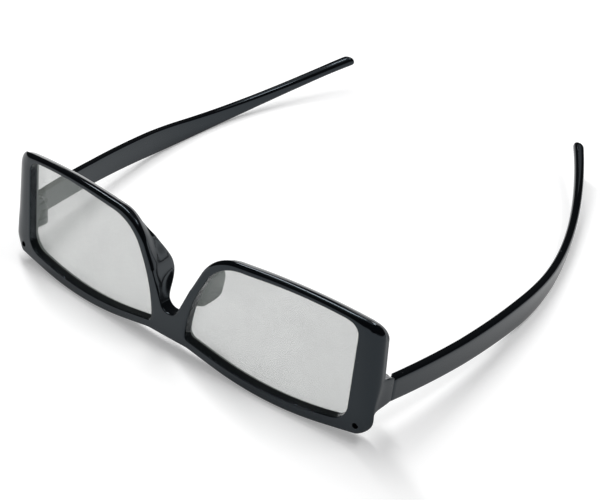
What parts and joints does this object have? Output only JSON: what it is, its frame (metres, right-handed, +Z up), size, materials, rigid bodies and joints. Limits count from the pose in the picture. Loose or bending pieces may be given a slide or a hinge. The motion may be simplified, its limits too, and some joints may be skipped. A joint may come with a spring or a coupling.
{
  "type": "3d glasses",
  "caption": "Folding passive 3D glasses: glossy moulded front with laminated grey polarising lenses, pinned hinges and bowed temples with ear bends, lying upside down.",
  "frame": {"origin": "on the table, under the middle of the glasses as they lie upside down with both temples open", "axes": "+X towards the wearer's right temple, +Y from the front back towards the ear tips, +Z up from the table, which is from brow to cheek"},
  "size_m": [0.1522, 0.1598, 0.0401],
  "materials": {
    "frame_plastic": "glossy black moulded plastic",
    "retarder": "clear film with a faint grey tint",
    "polariser": "grey polarising film",
    "carrier": "clear carrier sheet with a faint haze",
    "pin_steel": "plain drawn steel"
  },
  "bodies": {
    "front": {"front_frame": "frame_plastic", "left_retarder_film": "retarder", "left_polariser_film": "polariser", "left_lens_sheet": "carrier", "right_retarder_film": "retarder", "right_polariser_film": "polariser", "right_lens_sheet": "carrier", "left_hinge_pin": "pin_steel", "right_hinge_pin": "pin_steel"},
    "left_arm": {"left_temple": "frame_plastic"},
    "right_arm": {"right_temple": "frame_plastic"}
  },
  "joints": [
    {"name": "right_fold", "type": "hinge", "parent": "front", "child": "right_arm", "pos_m": [0.06604, -0.0665, 0.01314], "axis": [0, 0.1426, 0.9898], "range_deg": [0, 84]},
    {"name": "left_fold", "type": "hinge", "parent": "front", "child": "left_arm", "pos_m": [-0.06604, -0.0665, 0.01314], "axis": [0, -0.1426, -0.9898], "range_deg": [0, 70]}
  ]
}
